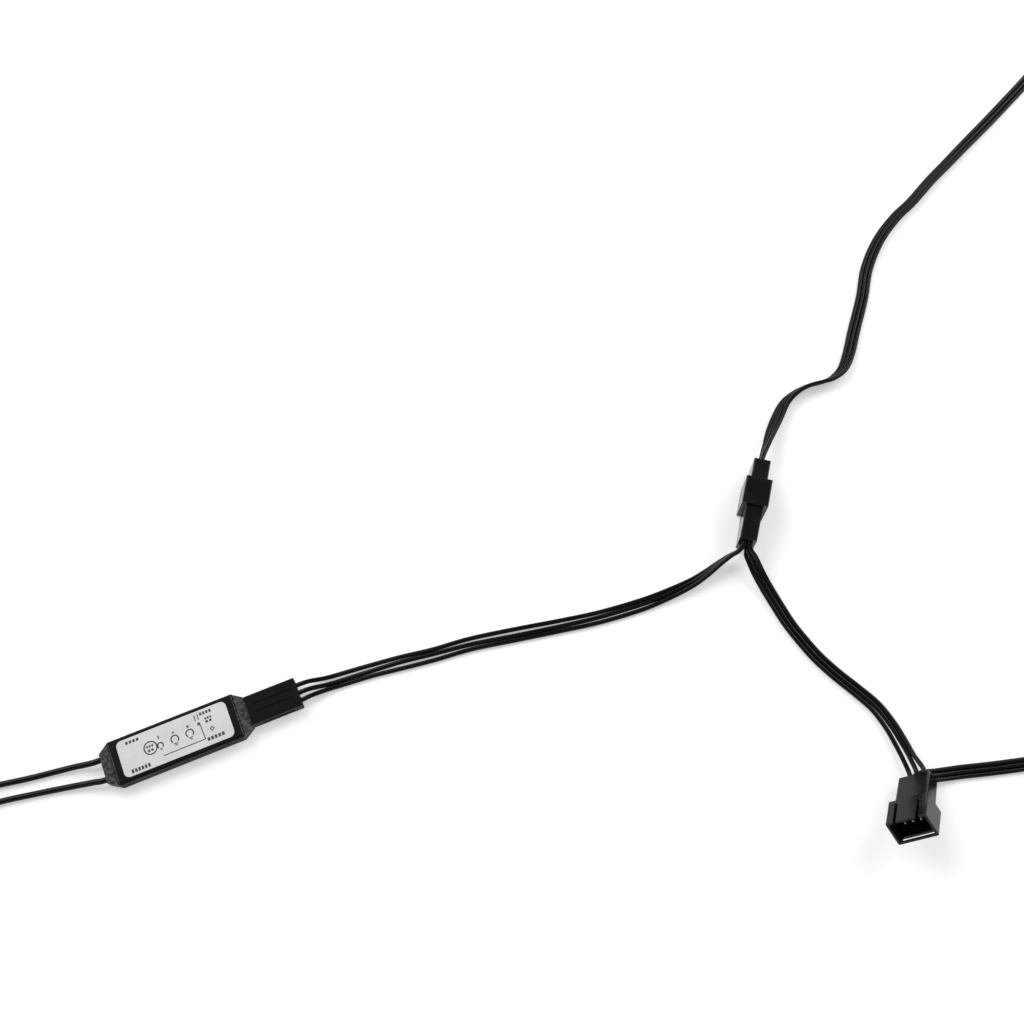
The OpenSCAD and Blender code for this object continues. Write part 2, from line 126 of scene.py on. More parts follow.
@dataclass(frozen=True)
class Finish:
    """One real material: a colour that varies a little, a grain in its gloss and its surface.

    Fields: name and slot, the record's material slot; dark and light, the hex colours between
    which it varies; patch, the size of that variation; grain, the size of the surface texture;
    rough, the lowest and highest roughness; relief, the depth of the texture; ior and metallic
    of the shader; mirror, its specular level, 0.5 for a clean skin and less for one that is
    dulled; space and stretch, where the pattern lies and how far it is drawn out along the
    first axis.
    """

    name: str
    slot: str
    dark: str
    light: str
    patch: float
    grain: float
    rough: tuple[float, float]
    relief: float
    ior: float = 1.5
    metallic: float = 0.0
    mirror: float = 0.5
    space: Space = Space.OBJECT
    stretch: float = 1.0

    def material(self) -> bpy.types.Material:
        """Build the shader, or return it if it is there already.

        Returns:
            The material, its pattern and gloss driven by one noise and its relief by another.
        """
        known = bpy.data.materials.get(self.name)
        if known:
            return known
        material, tree = new_material(self.name)
        place = add_node(tree, "ShaderNodeTexCoord").outputs[self.space.value]
        drawn = add_node(
            tree, "ShaderNodeMapping", {"Vector": place, "Scale": (1 / self.stretch, 1, 1)}
        ).outputs["Vector"]
        patches = add_node(
            tree, "ShaderNodeTexNoise", {"Vector": drawn, "Scale": 1 / self.patch, **PATCH_NOISE}
        ).outputs["Fac"]
        grain = add_node(
            tree, "ShaderNodeTexNoise", {"Vector": drawn, "Scale": 1 / self.grain, **GRAIN_NOISE}
        ).outputs["Fac"]
        spread = add_node(
            tree, "ShaderNodeMapRange", {"Value": patches, **PATCH_RANGE}
        ).outputs["Result"]
        colour = add_node(
            tree,
            "ShaderNodeMix",
            {0: spread, 6: srgb(self.dark), 7: srgb(self.light)},
            data_type="RGBA",
        )
        gloss = add_node(
            tree,
            "ShaderNodeMapRange",
            {"Value": spread, "To Min": self.rough[0], "To Max": self.rough[1]},
        ).outputs["Result"]
        bump = add_node(
            tree, "ShaderNodeBump", {"Height": grain, "Distance": self.relief, "Strength": 1.0}
        ).outputs["Normal"]
        shader = add_node(
            tree,
            "ShaderNodeBsdfPrincipled",
            {
                "Base Color": colour.outputs[2],
                "Roughness": gloss,
                "Normal": bump,
                "IOR": self.ior,
                "Metallic": self.metallic,
                "Specular IOR Level": self.mirror,
            },
        )
        add_node(tree, "ShaderNodeOutputMaterial", {"Surface": shader.outputs["BSDF"]})
        return material


# Black ABS, fine mould skin that scatters most of the mirror reflection.
CASE_ABS = Finish(
    "satin_black_abs", "case_plastic", dark="0b0b0c", light="121213", patch=0.009, grain=0.00035,
    rough=(0.42, 0.52), relief=0.000008, ior=1.54, mirror=0.1,
)
# The same ABS on the sloping ends, spark-eroded in the mould into a coarse relief, with coarse grey
# specks of painted sheen that lighten the ends.
SPARK_ABS_WITH_PAINTED_SHEEN = Finish(
    "spark_textured_black_abs_painted_sheen", "case_plastic", dark="121213", light="565658", patch=0.0008,
    grain=0.0004, rough=(0.5, 0.62), relief=0.00004, ior=1.54, mirror=0.25,
)
# Black nylon 66, injection moulded: dark when looked at squarely and bright at a slant, with
# slow ripples.
CONNECTOR_NYLON = Finish(
    "semi_gloss_black_nylon", "connector_plastic", dark="121213", light="19191a", patch=0.006,
    grain=0.0011, rough=(0.1, 0.18), relief=0.000005, ior=1.53, mirror=0.2,
)
# The same nylon on the output connector, in a duller mould.
DULL_NYLON = Finish(
    "dull_black_nylon", "connector_plastic", dark="070708", light="0d0d0e", patch=0.006,
    grain=0.0008, rough=(0.45, 0.55), relief=0.000005, ior=1.53, mirror=0.1,
)
# Black soft PVC, extruded: glossy, with faint waves drawn out along the wire.
WIRE_PVC = Finish(
    "glossy_black_pvc", "wire_insulation", dark="070708", light="0e0e0f", patch=0.004, grain=0.0016,
    rough=(0.2, 0.3), relief=0.00003, ior=1.53, mirror=0.18, space=Space.UV, stretch=3.0,
)
# Matt polyester film: a light grey with a very faint mottle from its coating.
LABEL_FILM = Finish(
    "matt_grey_polyester_film", "label_film", dark="dcdcdc", light="e4e4e4", patch=0.004,
    grain=0.0004, rough=(0.5, 0.6), relief=0.000004, ior=1.5,
)
# Screen-printing ink: dark grey, flat, a little uneven where it lies thin.
PRINT_INK = Finish(
    "dark_grey_screen_ink", "label_film", dark="2c2c2e", light="444446", patch=0.0012, grain=0.0003,
    rough=(0.55, 0.7), relief=0.000002, ior=1.5,
)
# Glass-epoxy board under green solder mask, glossy over the weave.
BOARD_MASK = Finish(
    "green_solder_mask", "circuit_board", dark="0f3d24", light="15512f", patch=0.0012, grain=0.0005,
    rough=(0.25, 0.35), relief=0.00001, ior=1.55,
)
# Moulded epoxy of small chips: near black and dull.
CHIP_EPOXY = Finish(
    "black_moulding_epoxy", "component_plastic", dark="161616", light="202020", patch=0.001,
    grain=0.00015, rough=(0.55, 0.7), relief=0.00001, ior=1.55,
)
# Fired barium titanate of a chip capacitor: a dull tan.
CAPACITOR_CERAMIC = Finish(
    "tan_fired_ceramic", "ceramic", dark="a58a63", light="bda17a", patch=0.001, grain=0.0002,
    rough=(0.4, 0.55), relief=0.000008, ior=1.6,
)
# Thin pale gold flash over drawn brass, nearly silvery in the shade of the hood.
GILT_BRASS = Finish(
    "gold_flashed_brass", "gilt_pins", dark="a39a84", light="bdb49d", patch=0.0015, grain=0.0002,
    rough=(0.22, 0.34), relief=0.000006, metallic=1.0,
)
# Tin over copper strands: bright, with the lay of the strands as a coarse relief.
TINNED_COPPER = Finish(
    "tinned_copper", "tinned_contacts", dark="b9b9b8", light="d2d2d0", patch=0.0012, grain=0.00025,
    rough=(0.25, 0.4), relief=0.00002, metallic=1.0,
)


@dataclass(frozen=True)
class Place:
    """Where a connector lies: its rear face's middle, then heading, pitch and roll in degrees."""

    origin: tuple[float, float, float]
    heading: float
    pitch: float
    roll: float

    def at(self, along: float, across: float, up: float) -> np.ndarray:
        """Return the row point of a place in the connector's own axes.

        Args:
            along: the distance from the rear face towards the mouth.
            across: the distance to the left.
            up: the distance upwards.

        Returns:
            The point rolled, pitched, turned and moved to the connector's origin.
        """
        head, pitch, roll = np.radians([self.heading, self.pitch, self.roll])
        point = np.array([along, across, up])
        about_x = [[1, 0, 0], [0, np.cos(roll), -np.sin(roll)], [0, np.sin(roll), np.cos(roll)]]
        about_y = [[np.cos(pitch), 0, -np.sin(pitch)], [0, 1, 0], [np.sin(pitch), 0, np.cos(pitch)]]
        about_z = [[np.cos(head), -np.sin(head), 0], [np.sin(head), np.cos(head), 0], [0, 0, 1]]
        turned = np.array(about_z) @ np.array(about_y) @ np.array(about_x) @ point
        return np.array(self.origin) + turned

    def way_in(self, depth: float, offset: float, roll: float) -> tuple[float, ...]:
        """Return a route row near the rear face, with the wires at the spacing of the ways.

        Args:
            depth: how far inside the rear face it lies.
            offset: how far it lies off the connector's middle plane.
            roll: the roll of the flat lead there, in degrees.

        Returns:
            The middle wire's position, the roll, and the distances to the outer wires.
        """
        return (*self.at(depth, 0.0, offset), roll, WAY_PITCH, WAY_PITCH)


# The connectors' own sizes, as the CAD model has them.
WAY_PITCH = 0.0025
HOOD_WIDTH = 0.0126
HOOD_THICK = 0.0084
PLUG_LENGTH = 0.0212
# How far the lamp lead's socket stands out of the hood that it is pushed into.
SOCKET_REACH = 0.0072
# How deep a wire runs into its cavity, and how far two wires that share one lie off its middle.
CRIMP_DEPTH = 0.00215
SHARED_OFFSET = 0.0008

# The pair stands on its narrow side, and the open plug leans on its rear with its mouth up.
SPLIT_PLUG_PLACE = Place((0.1869, -0.01, HOOD_WIDTH / 2), heading=54.3, pitch=0, roll=-90)
LAMP_SOCKET_PLACE = Place(
    tuple(SPLIT_PLUG_PLACE.at(PLUG_LENGTH + SOCKET_REACH, 0, 0)), heading=234.3, pitch=0, roll=90
)
OPEN_PLUG_PLACE = Place((0.2014, -0.0969, 0.00443), heading=-136, pitch=34, roll=50)
CHAIN_PLUG_PLACE = Place((0.288, -0.115, HOOD_THICK / 2), heading=0, pitch=0, roll=0)
LAMP_PLUG_PLACE = Place((0.397, 0.1332, HOOD_THICK / 2), heading=27.5, pitch=0, roll=0)


def smooth_route(rows: np.ndarray, step: float) -> np.ndarray:
    """Carry a Catmull-Rom curve through the rows.

    Between rows b and c, with a before and d after, a point at share t is
    (2b + (c - a)t + (2a - 5b + 4c - d)t^2 + (3b - a - 3c + d)t^3) / 2, and each end row is
    mirrored to give the one beyond it.

    Args:
        rows: one row per chosen point, position first.
        step: the greatest distance between two points of the result.

    Returns:
        The points, with as many columns as the rows have.
    """
    full = np.vstack([2 * rows[0] - rows[1], rows, 2 * rows[-1] - rows[-2]])
    spans = np.linalg.norm(np.diff(rows[:, :3], axis=0), axis=1)
    counts = np.maximum(1, np.ceil(spans / step)).astype(int)
    part = np.repeat(np.arange(len(counts)), counts)
    share = (np.arange(counts.sum()) - np.repeat(np.cumsum(counts) - counts, counts)) / counts[part]
    a, b, c, d = (full[part + shift] for shift in range(4))
    t = share[:, None]
    square, cube = (2 * a - 5 * b + 4 * c - d) * t**2, (3 * b - a - 3 * c + d) * t**3
    curve = 0.5 * (2 * b + (c - a) * t + square + cube)
    return np.vstack([curve, rows[-1]])


def frames(line: np.ndarray) -> tuple[np.ndarray, np.ndarray]:
    """Return the level sideways and the upward direction at each point of a line."""
    before = np.vstack([line[:1], line[:-1]])
    after = np.vstack([line[1:], line[-1:]])
    ahead = after - before
    ahead /= np.linalg.norm(ahead, axis=1, keepdims=True)
    side = np.cross([0.0, 0.0, 1.0], ahead)
    side /= np.linalg.norm(side, axis=1, keepdims=True)
    return side, np.cross(ahead, side)


def finished_object(
    name: str, points: np.ndarray, faces: list, finish: Finish, smooth: bool = True
) -> bpy.types.Object:
    """Make a mesh object at the origin, with its place in its mesh, and dress it.

    Args:
        name: the piece's name.
        points: vertex positions in the row frame.
        faces: vertex numbers of each face, anticlockwise seen from outside.
        finish: what it is made of.
        smooth: whether its faces are shaded as one surface.

    Returns:
        The new object.
    """
    mesh = bpy.data.meshes.new(name)
    mesh.from_pydata(points.tolist(), [], faces)
    mesh.polygons.foreach_set("use_smooth", np.full(len(mesh.polygons), smooth))
    piece = bpy.data.objects.new(name, mesh)
    bpy.context.scene.collection.objects.link(piece)
    mesh.materials.append(finish.material())
    return piece


def install(piece: bpy.types.Object, finish: Finish, *nodes: str) -> None:
    """Let a piece ride on the harness and stand for its CAD nodes."""
    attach(piece, BODY)
    if nodes:
        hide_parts(*nodes)
    LOG.info("%s: %d faces, %s", piece.name, len(piece.data.polygons), finish.name)


def tube(
    name: str, line: np.ndarray, radius: float, finish: Finish, sides: int = 16
) -> bpy.types.Object:
    """Sweep a circle along a line, closed at both ends.

    A point of it is line + radius (cos a side + sin a up). Its UV map is in metres, the
    distance along the line and the distance round it, so that the pattern of the finish keeps
    its real size.

    Args:
        name: the piece's name.
        line: the middle line's points.
        radius: the tube's radius.
        finish: what it is made of.
        sides: how many faces go round it.

    Returns:
        The tube.
    """
    side, up = frames(line)
    turn = 2 * np.pi * (np.arange(sides) + 0.5) / sides
    rings = line[:, None] + radius * (
        np.cos(turn)[None, :, None] * side[:, None] + np.sin(turn)[None, :, None] * up[:, None]
    )
    count = len(line)
    ring, edge = np.meshgrid(np.arange(count - 1), np.arange(sides), indexing="ij")
    low = ring * sides
    following = (edge + 1) % sides
    high = low + sides
    walls = np.stack([low + edge, low + following, high + following, high + edge], axis=-1)
    faces = walls.reshape(-1, 4).tolist()
    faces.append(list(range(sides))[::-1])
    faces.append([(count - 1) * sides + k for k in range(sides)])
    piece = finished_object(name, rings.reshape(-1, 3), faces, finish)
    rounded = np.ones(len(faces), dtype=bool)
    rounded[-2:] = False
    piece.data.polygons.foreach_set("use_smooth", rounded)
    run = np.concatenate([[0.0], np.cumsum(np.linalg.norm(np.diff(line, axis=0), axis=1))])
    girth = 2 * np.pi * radius / sides
    along = np.stack([run[ring], run[ring], run[ring + 1], run[ring + 1]], axis=-1)
    around = np.stack([edge, edge + 1, edge + 1, edge], axis=-1) * girth
    chart = np.stack([along, around], axis=-1).reshape(-1, 2)
    chart = np.vstack([chart, np.zeros((2 * sides, 2))])
    layer = piece.data.uv_layers.new(name="along_wire")
    layer.data.foreach_set("uv", chart.ravel())
    return piece


@dataclass
class FlatLead:
    """Three bonded wires side by side.

    A row of its route is the middle wire's position, the roll of the flat in degrees, and
    the distances to wire 1, on the left of the way it runs, and to wire 3. bonded_diameter
    is a little more than the spacing of the wires, so that no gap shows where they are
    bonded, and on_end names the pieces that the far end carries.
    """

    name: str
    rows: list[tuple[float, ...]]
    length: float
    far_end: str
    on_end: list[str] = field(default_factory=list)
    wire_diameter: float = 0.0014
    bonded_diameter: float = 0.00147
    step: float = 0.001

    def wire_line(self, number: int) -> np.ndarray:
        """Return a wire's middle line, set off from the middle wire and kept above the floor.

        At each point it is the route plus off (cos roll side + sin roll up).

        Args:
            number: the wire, 1, 2 or 3.

        Returns:
            Its points in the row frame.
        """
        route = smooth_route(np.array(self.rows, dtype=float), self.step)
        side, up = frames(route[:, :3])
        roll = np.radians(route[:, 3])[:, None]
        off = {1: route[:, 4], 2: np.zeros(len(route)), 3: -route[:, 5]}[number][:, None]
        line = route[:, :3] + off * (np.cos(roll) * side + np.sin(roll) * up)
        line[:, 2] = np.maximum(line[:, 2], self.bonded_diameter / 2)
        return line

    def build(self) -> None:
        """Sweep the three wires, each in place of its CAD node."""
        for number in (1, 2, 3):
            node = f"{self.name}_wire_{number}"
            line = self.wire_line(number)
            wire = tube(f"{self.name}_lead_wire_{number}", line, self.bonded_diameter / 2, WIRE_PVC)
            install(wire, WIRE_PVC, node)


@dataclass
class PowerLead:
    """One single power wire with a bare tinned end."""

    name: str
    points: list[tuple[float, float, float]]
    length: float
    diameter: float = 0.0019
    step: float = 0.001

    def build(self) -> None:
        line = smooth_route(np.array(self.points, dtype=float), self.step)
        wire = tube(f"power_wire_{self.name}", line, self.diameter / 2, WIRE_PVC)
        install(wire, WIRE_PVC, f"power_lead_{self.name}")


@dataclass
class MouldedPart:
    """A moulded piece: its CAD shape with the sharp edges broken, as a mould leaves them.

    Fields: edge_radius, of the rounding; shortest_edge, the length from which an edge is
    rounded; sharp_from, the angle in degrees from which it counts as sharp; flat_within, the
    angle in degrees within which faces are joined; weld, the distance within which corners
    are made one; round_steps, the faces across a rounding.
    """

    name: str
    node: str
    finish: Finish
    edge_radius: float = 0.00012
    shortest_edge: float = 0.0008
    sharp_from: float = 25.0
    flat_within: float = 0.5
    weld: float = 1e-6
    round_steps: int = 3

    def build(self) -> bpy.types.Object:
        """Copy the CAD mesh, weld it, join its flat faces and round its long edges.

        Returns:
            The finished piece.
        """
        source = bpy.data.objects[self.node].data
        points = np.empty(len(source.vertices) * 3)
        source.vertices.foreach_get("co", points)
        loops = np.empty(len(source.loops), dtype=np.int64)
        source.loops.foreach_get("vertex_index", loops)
        keys, first, number = np.unique(
            np.round(points.reshape(-1, 3) / self.weld).astype(np.int64),
            axis=0,
            return_index=True,
            return_inverse=True,
        )
        faces = number.ravel()[loops].reshape(-1, 3)
        whole = (faces != np.roll(faces, 1, axis=1)).all(axis=1)
        corners = points.reshape(-1, 3)[first]
        piece = finished_object(self.name, corners, faces[whole].tolist(), self.finish)
        self._join_flats(piece.data)
        bevel = piece.modifiers.new("broken edges", "BEVEL")
        bevel.width = self.edge_radius
        bevel.segments = self.round_steps
        bevel.limit_method = "WEIGHT"
        bevel.use_clamp_overlap = False
        bevel.harden_normals = True
        install(piece, self.finish, self.node)
        return piece

    def _join_flats(self, mesh: bpy.types.Mesh) -> None:
        """Join faces that lie in one plane, and mark the long sharp edges for rounding."""
        work = bmesh.new()
        work.from_mesh(mesh)
        flat = math.radians(self.flat_within)
        bmesh.ops.dissolve_limit(work, angle_limit=flat, verts=work.verts, edges=work.edges)
        weight = work.edges.layers.float.new("bevel_weight_edge")
        for edge in work.edges:
            sharp = abs(edge.calc_face_angle_signed(0.0)) > math.radians(self.sharp_from)
            edge[weight] = float(sharp and edge.calc_length() > self.shortest_edge)
            edge.smooth = not sharp
        work.to_mesh(mesh)
        work.free()


@dataclass
class LabelPrint:
    """Generic marks on the controller's film: blocks, plain outlines and one thin line.

    Positions on the film are in millimetres from the middle of the lid, x along the controller
    and y across it. Fields in metres: top, the height of the film; proud and sunk, how far the
    ink stands over it and reaches into it; mm, one millimetre. Fields in millimetres: stroke and
    thin_stroke, the widths of an outline and of the line. filled is the share of its place that
    a block of a row takes up; round_points and arc_points are the points of a circle and an arc.
    """

    top: float = 0.00495
    proud: float = 0.000012
    sunk: float = 0.00002
    mm: float = 0.001
    stroke: float = 0.4
    thin_stroke: float = 0.28
    filled: float = 0.68
    round_points: int = 24
    arc_points: int = 19
    points: list[np.ndarray] = field(default_factory=list)
    faces: list[list[int]] = field(default_factory=list)
    count: int = 0

    def line(self, path: list[tuple[float, float]], width: float, closed: bool = False) -> None:
        """Add a flat raised stroke along a path.

        At each point the stroke's two sides lie half a width to either side of the path,
        along the mean of the normals of the two pieces that meet there.

        Args:
            path: the points it runs through.
            width: its width.
            closed: whether it runs back to its start.
        """
        track = np.array(path, dtype=float)
        before = np.roll(track, 1, axis=0)
        after = np.roll(track, -1, axis=0)
        if not closed:
            before[0], after[-1] = track[0], track[-1]
        ahead = after - before
        ahead /= np.linalg.norm(ahead, axis=1, keepdims=True)
        normal = np.stack([-ahead[:, 1], ahead[:, 0]], axis=1)
        count = len(track)
        left, right = track + normal * width / 2, track - normal * width / 2
        flat = np.stack([left, right, right, left], axis=1) * self.mm
        height = np.array([self.top + self.proud] * 2 + [self.top - self.sunk] * 2)
        heights = np.broadcast_to(height[None, :, None], (count, 4, 1))
        solid = np.concatenate([flat, heights], axis=2)
        pieces = np.arange(count if closed else count - 1)
        here, there = pieces * 4, ((pieces + 1) % count) * 4
        for a, b in ((0, 1), (1, 2), (2, 3), (3, 0)):
            quads = np.stack([here + a, here + b, there + b, there + a], axis=1) + self.count
            self.faces += quads.tolist()
        if not closed:
            last = (count - 1) * 4 + self.count
            self.faces.append([self.count + k for k in (3, 2, 1, 0)])
            self.faces.append([last + k for k in (0, 1, 2, 3)])
        self.points.append(solid.reshape(-1, 3))
        self.count += count * 4

    def block(self, x0: float, y0: float, x1: float, y1: float) -> None:
        """Add a filled bar between two corners."""
        self.line([(x0, (y0 + y1) / 2), (x1, (y0 + y1) / 2)], abs(y1 - y0))

    def row_of_blocks(self, x0: float, x1: float, y: float, height: float, count: int) -> None:
        """Add a row of equal blocks, as plain as a row of unreadable marks."""
        step = (x1 - x0) / count
        low, high = y - height / 2, y + height / 2
        for index in range(count):
            self.block(x0 + index * step, low, x0 + (index + self.filled) * step, high)

    def ring(
        self, x: float, y: float, radius: float, start: float = 0.0, sweep: float = 360.0
    ) -> None:
        """Add a circle, or a part of one from an angle and over a sweep in degrees."""
        whole = sweep >= 360
        steps = self.round_points + 1 if whole else self.arc_points
        turn = np.radians(start + np.linspace(0, sweep, steps))
        turn = turn[:-1] if whole else turn
        path = np.stack([x + radius * np.cos(turn), y + radius * np.sin(turn)], axis=1)
        self.line([tuple(point) for point in path], self.stroke, closed=whole)

    def lamp(self, x: float, y: float, size: float) -> None:
        """Add a plain lamp sign: a round outline, open below, over a wide and a short bar."""
        collar, foot = size * 0.55, size * 0.3
        self.ring(x, y, size, start=-50, sweep=280)
        self.block(x - collar, y - size * 1.35, x + collar, y - size * 1.1)
        self.block(x - foot, y - size * 1.75, x + foot, y - size * 1.5)

    def build(self) -> None:
        """Lay out all marks and make them one thin piece."""
        self._input_end()
        self._lamp_signs()
        self._bracket()
        self._output_end()
        marks = np.vstack(self.points)
        piece = finished_object("label_marks", marks, self.faces, PRINT_INK, smooth=False)
        install(piece, PRINT_INK)

    def _input_end(self) -> None:
        """Add the rows at the power leads' end and a dial with two short rows in it."""
        self.row_of_blocks(x0=-14.4, x1=-10.0, y=4.4, height=0.9, count=4)
        self.row_of_blocks(x0=-14.9, x1=-8.8, y=-4.5, height=1.15, count=6)
        self.ring(x=-7.7, y=0.3, radius=1.95)
        self.row_of_blocks(x0=-8.9, x1=-6.5, y=0.85, height=0.7, count=3)
        self.row_of_blocks(x0=-8.7, x1=-6.6, y=-0.4, height=0.7, count=2)

    def _lamp_signs(self) -> None:
        """Add three lamp signs, each with a small block over it."""
        self.lamp(x=-4.7, y=-0.1, size=0.85)
        self.block(x0=-4.85, y0=2.0, x1=-4.45, y1=3.0)
        self.lamp(x=-0.15, y=0.1, size=1.15)
        self.block(x0=-0.45, y0=1.9, x1=0.2, y1=2.4)
        self.lamp(x=4.55, y=0.1, size=1.15)
        self.block(x0=4.15, y0=1.9, x1=4.85, y1=2.6)

    def _bracket(self) -> None:
        """Add the thin line under the signs, which turns up to a small ring and two bars."""
        corner = (8.45, -3.45)
        self.line([(-4.7, -3.5), corner], self.thin_stroke)
        self.line([corner, (8.24, 1.5)], self.thin_stroke)
        self.ring(x=7.9, y=1.75, radius=0.3)
        self.block(x0=7.1, y0=3.0, x1=7.4, y1=4.9)
        self.block(x0=8.1, y0=3.0, x1=8.4, y1=4.9)

    def _output_end(self) -> None:
        """Add the rows at the output's end and a small square on its corner."""
        self.row_of_blocks(x0=8.9, x1=12.8, y=4.5, height=0.9, count=4)
        self.row_of_blocks(x0=10.0, x1=12.3, y=1.6, height=0.7, count=2)
        self.row_of_blocks(x0=10.0, x1=12.3, y=2.6, height=0.7, count=3)
        square = [(10.7, -1.1), (11.3, -0.5), (11.9, -1.1), (11.3, -1.7)]
        self.line(square, self.stroke, closed=True)
        self.row_of_blocks(x0=9.0, x1=14.7, y=-3.85, height=1.1, count=5)


@dataclass
class Controller:
    """The inline controller: its two shells, the film on its lid and what is inside.

    Fields: shell_edge and film_edge, the radii of their edges; film_shortest, the shortest
    edge of the film that is rounded; end_slant, how far a face's normal turns along the
    controller before it counts as part of an end.
    """

    shell_edge: float = 0.00022
    film_edge: float = 0.00005
    film_shortest: float = 0.0001
    end_slant: float = 0.15

    def build(self) -> None:
        """Make the shells, the film and its marks, and dress the board and its parts."""
        shells = {"controller_lower_shell": "case_base", "controller_upper_shell": "case_lid"}
        for name, node in shells.items():
            shell = MouldedPart(name, node, CASE_ABS, self.shell_edge).build()
            self._grain_and_sheen_ends(shell.data)
        film = ("controller_film", "case_label", LABEL_FILM)
        MouldedPart(*film, self.film_edge, self.film_shortest).build()
        LabelPrint().build()
        dress("circuit_board", BOARD_MASK)
        for node in ("microcontroller", "voltage_regulator", "series_resistors", "output_header"):
            dress(node, CHIP_EPOXY)
        dress("filter_capacitor", CAPACITOR_CERAMIC)
        for number in (1, 2, 3):
            dress(f"header_pin_{number}", GILT_BRASS)
        for pole in ("plus", "minus"):
            dress(f"power_core_{pole}", TINNED_COPPER)

    def _grain_and_sheen_ends(self, mesh: bpy.types.Mesh) -> None:
        """Give the faces that turn towards the tips the coarser texture of the mould's ends, and
        the lighter grey specks of painted sheen.
        """
        mesh.materials.append(SPARK_ABS_WITH_PAINTED_SHEEN.material())
        for face in mesh.polygons:
            # Faces turned towards either tip take the second material, whose grey specks are
            # painted sheen.
            if abs(face.normal.x) > self.end_slant:
                face.material_index = 1


@dataclass(frozen=True)
class HoodFloor:
    """Floor of an open hood, which leaves only a narrow latch slot of the CAD model's window.

    Fields in metres: rim, from the mouth to the slot; slot and window, the lengths of the slot
    and of the CAD model's window; half_width of the window; wall, the hood's thickness.
    """

    name: str
    place: Place
    rim: float = 0.0007
    slot: float = 0.0013
    window: float = 0.0036
    half_width: float = 0.005
    wall: float = 0.0008

    def build(self) -> None:
        """Make the floor as a thin plate that is flush with the hood inside and outside."""
        front = PLUG_LENGTH - self.rim - self.slot
        rear = PLUG_LENGTH - self.rim - self.window
        low = -HOOD_THICK / 2
        corners = [
            self.place.at(along, across, up)
            for up in (low, low + self.wall)
            for along, across in (
                (rear, -self.half_width),
                (front, -self.half_width),
                (front, self.half_width),
                (rear, self.half_width),
            )
        ]
        sides = [[k, (k + 1) % 4, (k + 1) % 4 + 4, k + 4] for k in range(4)]
        faces = [[3, 2, 1, 0], [4, 5, 6, 7], *sides]
        plate = finished_object(self.name, np.array(corners), faces, CONNECTOR_NYLON, smooth=False)
        install(plate, CONNECTOR_NYLON)


@dataclass
class Connectors:
    """The output connector, the four hooded plugs and the lamp lead's socket."""

    housings: dict[str, str] = field(
        default_factory=lambda: {
            "output_connector": "trunk_socket",
            "split_plug_housing": "split_plug",
            "lamp_socket_housing": "lamp_socket",
            "open_plug_housing": "branch_plug",
            "chain_plug_housing": "chain_plug",
            "lamp_plug_housing": "lamp_plug",
        }
    )

    def build(self) -> None:
        """Make each housing and dress its pins and contacts."""
        for name, node in self.housings.items():
            finish = DULL_NYLON if node == "trunk_socket" else CONNECTOR_NYLON
            MouldedPart(name, node, finish).build()
        HoodFloor("open_plug_floor", OPEN_PLUG_PLACE).build()
        HoodFloor("chain_plug_floor", CHAIN_PLUG_PLACE).build()
        HoodFloor("lamp_plug_floor", LAMP_PLUG_PLACE).build()
        for number in (1, 2, 3):
            for group in ("split", "branch", "chain", "lamp"):
                dress(f"{group}_pin_{number}", GILT_BRASS)
            for group in ("trunk", "lamp"):
                dress(f"{group}_contact_{number}", TINNED_COPPER)


def dress(node: str, finish: Finish) -> None:
    """Give a CAD node that keeps its shape the material it is made of."""
    bpy.data.objects[node].material_slots[0].material = finish.material()


def pins_of(group: str) -> list[str]:
    """Name the three pins of a plug."""
    return [f"{group}_pin_{number}" for number in (1, 2, 3)]


